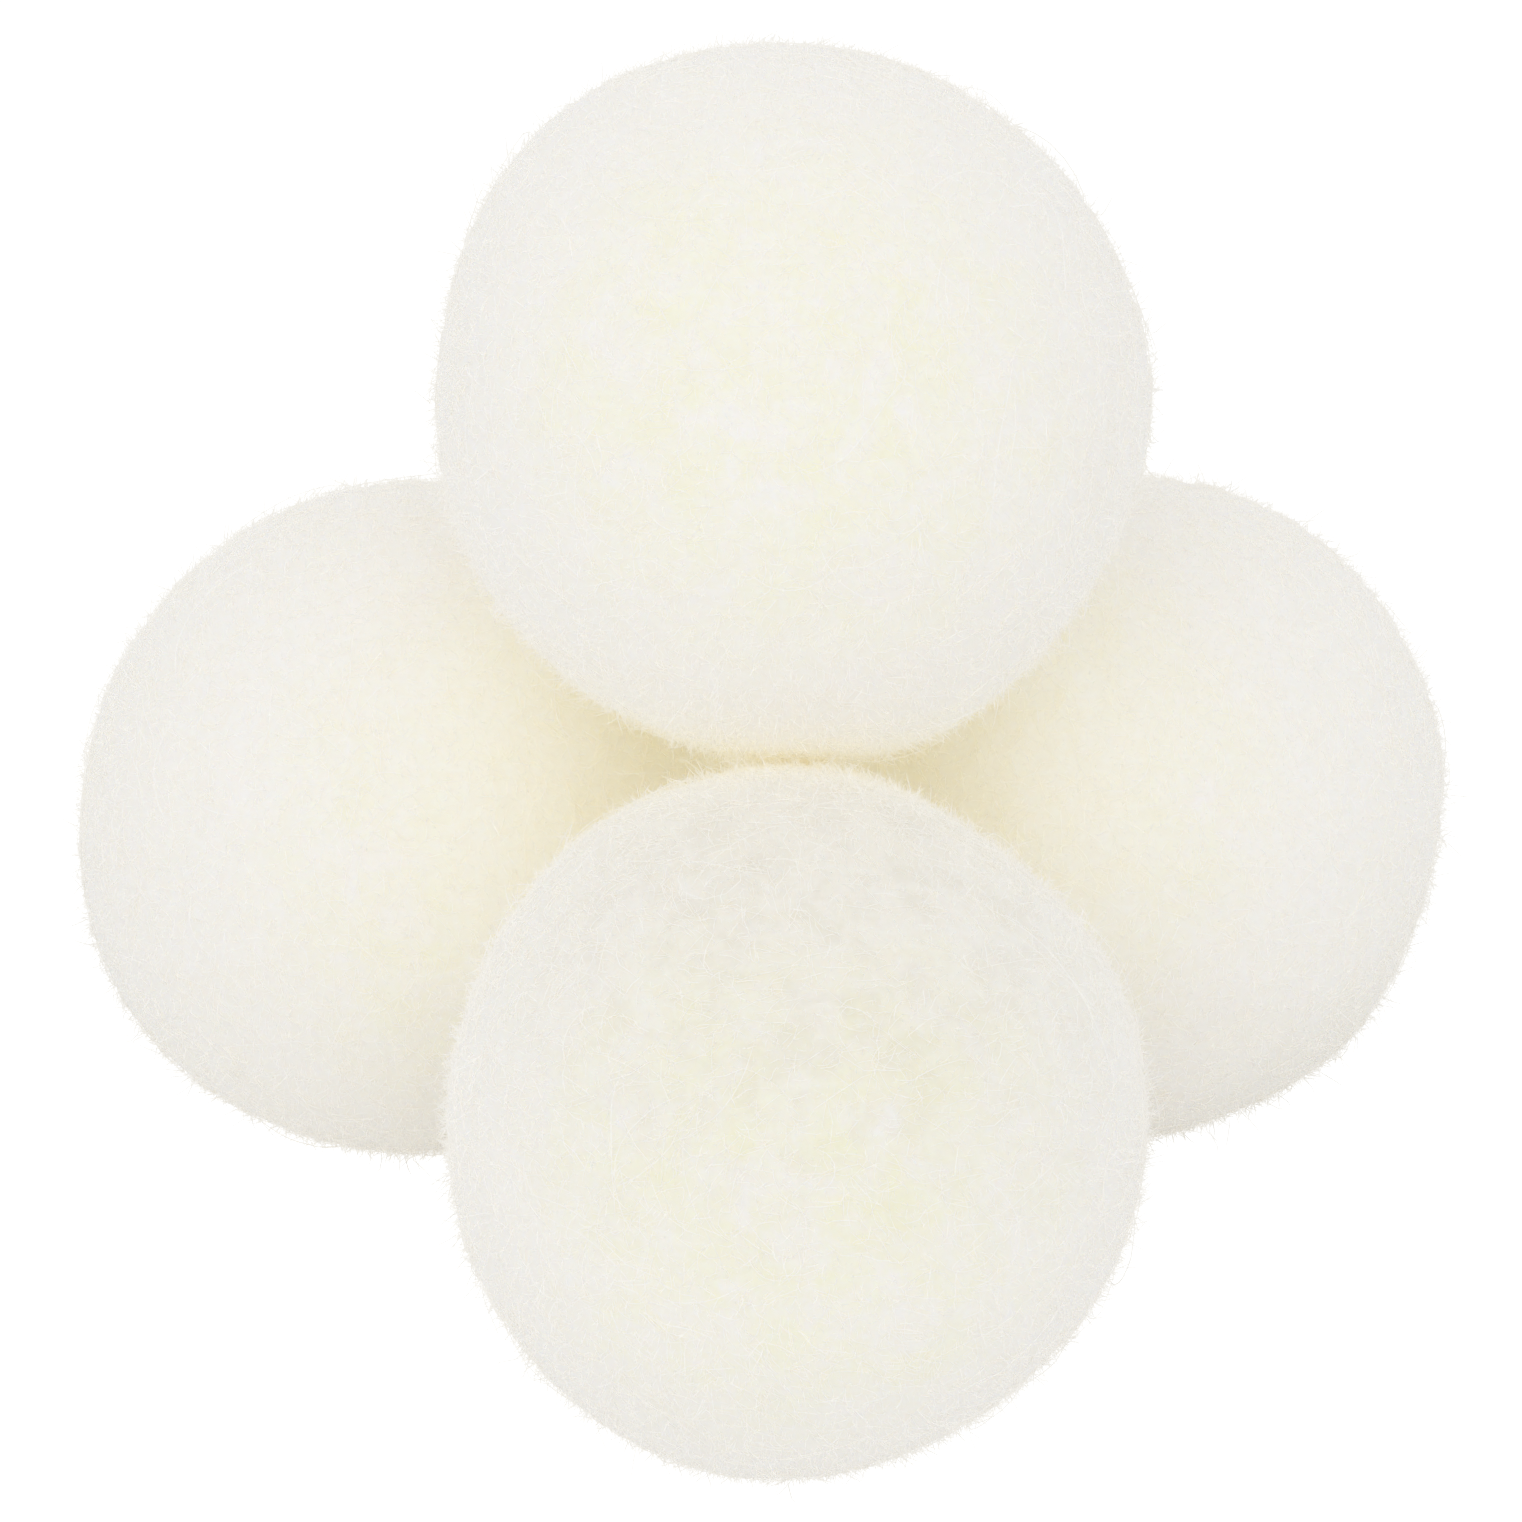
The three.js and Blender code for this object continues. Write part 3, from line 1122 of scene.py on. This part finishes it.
def inner_material(name, colour, direction, size):
    """Wool inside a ball: layers of carded or rolled fibre with fine windings across it."""
    material = bpy.data.materials.new(name)
    material.use_nodes = True
    nodes = material.node_tree.nodes
    links = material.node_tree.links
    nodes.clear()

    winding_frame = nodes.new("NodeFrame")
    winding_frame.label = "Windings"
    coordinates = nodes.new("ShaderNodeTexCoord")
    coordinates.label = "Place in the pile"
    windings = nodes.new("ShaderNodeTexWave")
    windings.label = "Turns of fibre round the ball"
    clumps = nodes.new("ShaderNodeTexNoise")
    clumps.label = "Clumps in the fleece"
    tinted = nodes.new("ShaderNodeMix")
    tinted.label = "Darker between the turns"
    clumped = nodes.new("ShaderNodeMix")
    clumped.label = "Uneven fleece"
    relief = nodes.new("ShaderNodeBump")
    relief.label = "Turns stand up"
    wool = nodes.new("ShaderNodeBsdfPrincipled")
    wool.label = "Pressed wool"
    output = nodes.new("ShaderNodeOutputMaterial")
    output.label = "Surface"

    for member in (coordinates, windings, clumps, tinted, clumped, relief):
        member.parent = winding_frame
    for column, node in enumerate((coordinates, windings, tinted, clumped, relief, wool, output)):
        node.location = (column * 220, 0)
    clumps.location = (220, -350)

    darker = [channel * 0.82 for channel in colour]
    windings.bands_direction = direction
    windings.inputs["Scale"].default_value = size
    windings.inputs["Distortion"].default_value = 6
    windings.inputs["Detail"].default_value = 3
    windings.inputs["Detail Scale"].default_value = 2
    clumps.inputs["Scale"].default_value = 240
    clumps.inputs["Detail"].default_value = 4
    tinted.data_type = "RGBA"
    tinted.inputs["A"].default_value = (*darker, 1)
    tinted.inputs["B"].default_value = (*colour, 1)
    clumped.data_type = "RGBA"
    clumped.blend_type = "MULTIPLY"
    clumped.inputs["B"].default_value = (*darker, 1)
    relief.inputs["Strength"].default_value = 0.6
    relief.inputs["Distance"].default_value = 0.0003
    wool.inputs["Roughness"].default_value = 0.95
    wool.inputs["Sheen Weight"].default_value = 0.2

    links.new(coordinates.outputs["Object"], windings.inputs["Vector"])
    links.new(coordinates.outputs["Object"], clumps.inputs["Vector"])
    links.new(windings.outputs["Fac"], tinted.inputs["Factor"])
    links.new(clumps.outputs["Fac"], clumped.inputs["Factor"])
    links.new(tinted.outputs["Result"], clumped.inputs["A"])
    links.new(windings.outputs["Fac"], relief.inputs["Height"])
    links.new(clumped.outputs["Result"], wool.inputs["Base Color"])
    links.new(relief.outputs["Normal"], wool.inputs["Normal"])
    links.new(wool.outputs["BSDF"], output.inputs["Surface"])
    return material


class DRYERBALL_OT_inner_wool(Operator):
    """Give the wraps and the cores inside the balls their wool"""

    bl_idname = "dryer_ball.inner_wool"
    bl_label = "Wraps and Cores"

    def execute(self, context):
        felt = context.scene.dryer_ball_felt
        wools = {
            "cross_wrap": inner_material("cross wrap wool", felt.carded, "X", 420),
            "first_wrap": inner_material("first wrap wool", felt.carded, "Z", 420),
            "rolled_core": inner_material("rolled core wool", felt.rolled, "Y", 260),
        }
        for ball in BALLS:
            for layer, wool in wools.items():
                node = frame["nodes"][f"{ball}_{layer}"]
                node.data.materials.clear()
                node.data.materials.append(wool)
        return {"FINISHED"}


# ---- Stage ----


def floor_material(name, colour, glow):
    """A plain pale floor, which may glow a little as a light table does."""
    material = bpy.data.materials.new(name)
    material.use_nodes = True
    nodes = material.node_tree.nodes
    links = material.node_tree.links
    nodes.clear()
    surface = nodes.new("ShaderNodeBsdfPrincipled")
    surface.label = "Pale floor"
    output = nodes.new("ShaderNodeOutputMaterial")
    output.label = "Surface"
    for column, node in enumerate((surface, output)):
        node.location = (column * 300, 0)
    surface.inputs["Base Color"].default_value = (*colour, 1)
    surface.inputs["Roughness"].default_value = 1
    surface.inputs["Specular IOR Level"].default_value = 0
    surface.inputs["Emission Color"].default_value = (1, 1, 1, 1)
    surface.inputs["Emission Strength"].default_value = glow
    links.new(surface.outputs["BSDF"], output.inputs["Surface"])
    return material


def stage_sheet(name, points, faces, material):
    """A large sheet, or several, that stand round the pile."""
    mesh = bpy.data.meshes.new(name)
    mesh.from_pydata(points, [], faces)
    mesh.materials.append(material)
    sheet = bpy.data.objects.new(name, mesh)
    bpy.context.collection.objects.link(sheet)
    return sheet


def square_at(height):
    """The corners of the floor's square at this height."""
    half = FLOOR_WIDTH / 2
    return [(-half, -half, height), (half, -half, height), (half, half, height), (-half, half, height)]


def shown_only(sheet):
    """Keeps a sheet from lighting the balls, or being mirrored in them."""
    sheet.visible_diffuse = False
    sheet.visible_glossy = False
    sheet.visible_transmission = False


class DRYERBALL_OT_stage(Operator):
    """Make the floor, the lights and the camera"""

    bl_idname = "dryer_ball.stage"
    bl_label = "Stage"

    def execute(self, context):
        scene = context.scene
        stage = scene.dryer_ball_stage
        scene.view_settings.view_transform = "Standard"
        scene.cycles.diffuse_bounces = LIGHT_BOUNCES
        scene.cycles.max_bounces = LIGHT_BOUNCES
        right, up, back = view_axes(stage)
        aim = CENTRES["top"].copy()
        aim.x += stage.aim_side
        aim.z = stage.aim_height

        camera = bpy.data.objects.new("Camera", bpy.data.cameras.new("Camera"))
        camera.data.lens = stage.lens
        camera.data.clip_end = 20
        turn = Matrix((right, up, back)).transposed().to_4x4()
        camera.matrix_world = Matrix.Translation(aim + back * stage.distance) @ turn
        context.collection.objects.link(camera)
        scene.camera = camera

        world = bpy.data.worlds.new("even white light")
        world.use_nodes = True
        world.node_tree.nodes["Background"].inputs["Color"].default_value = (1, 1, 1, 1)
        world.node_tree.nodes["Background"].inputs["Strength"].default_value = stage.sky
        scene.world = world

        key = bpy.data.objects.new("key light", bpy.data.lights.new("key light", "AREA"))
        key.data.energy = stage.key
        key.data.size = KEY_SIZE
        towards = (back + right * KEY_ASIDE + up * KEY_ABOVE).normalized()
        key.matrix_world = Matrix.Translation(aim + towards) @ towards.to_track_quat(
            "Z", "Y"
        ).to_matrix().to_4x4()
        context.collection.objects.link(key)

        # A bright floor and walls are what is seen, and a duller floor just above lights the balls.
        shown = floor_material("pale floor", stage.floor, stage.floor_glow)
        shown_only(stage_sheet("floor", square_at(-FLOOR_GAP), [(0, 1, 2, 3)], shown))
        corners = square_at(-FLOOR_GAP) + square_at(WALL_HEIGHT)
        sides = [(i, i + 4, (i + 1) % 4 + 4, (i + 1) % 4) for i in range(4)]
        walls = stage_sheet("walls", corners, sides, shown)
        shown_only(walls)
        walls.visible_shadow = False
        duller = floor_material("floor bounce", stage.bounce, stage.bounce_glow)
        bounce = stage_sheet("bounce", square_at(0), [(0, 1, 2, 3)], duller)
        bounce.visible_camera = False
        bounce.visible_shadow = False
        return {"FINISHED"}


# ---- Panel and registration ----

GROUPS = (
    ("dryer_ball_felt", DRYERBALL_PG_felt),
    ("dryer_ball_fibres", DRYERBALL_PG_fibres),
    ("dryer_ball_stage", DRYERBALL_PG_stage),
)
STEPS = (
    DRYERBALL_OT_stage,
    DRYERBALL_OT_inner_wool,
    DRYERBALL_OT_felt_skins,
    DRYERBALL_OT_nap,
    DRYERBALL_OT_fuzz,
    DRYERBALL_OT_down,
    DRYERBALL_OT_strays,
)


class DRYERBALL_PT_panel(Panel):
    """The steps that make the pile, and their settings."""

    bl_idname = "DRYERBALL_PT_panel"
    bl_label = "Dryer Balls"
    bl_space_type = "VIEW_3D"
    bl_region_type = "UI"
    bl_category = "Dryer Balls"

    def draw(self, context):
        for step in STEPS:
            self.layout.operator(step.bl_idname)
        for name, group in GROUPS:
            box = self.layout.box()
            for setting in group.__annotations__:
                box.prop(getattr(context.scene, name), setting)


def register():
    for name, group in GROUPS:
        bpy.utils.register_class(group)
        setattr(bpy.types.Scene, name, PointerProperty(type=group))
    for step in STEPS:
        bpy.utils.register_class(step)
    bpy.utils.register_class(DRYERBALL_PT_panel)


def unregister():
    bpy.utils.unregister_class(DRYERBALL_PT_panel)
    for step in reversed(STEPS):
        bpy.utils.unregister_class(step)
    for name, group in reversed(GROUPS):
        delattr(bpy.types.Scene, name)
        bpy.utils.unregister_class(group)


def main():
    register()
    bpy.ops.dryer_ball.stage()
    bpy.ops.dryer_ball.inner_wool()
    bpy.ops.dryer_ball.felt_skins()
    bpy.ops.dryer_ball.nap()
    bpy.ops.dryer_ball.fuzz()
    bpy.ops.dryer_ball.down()
    bpy.ops.dryer_ball.strays()


if __name__ == "__main__":
    main()
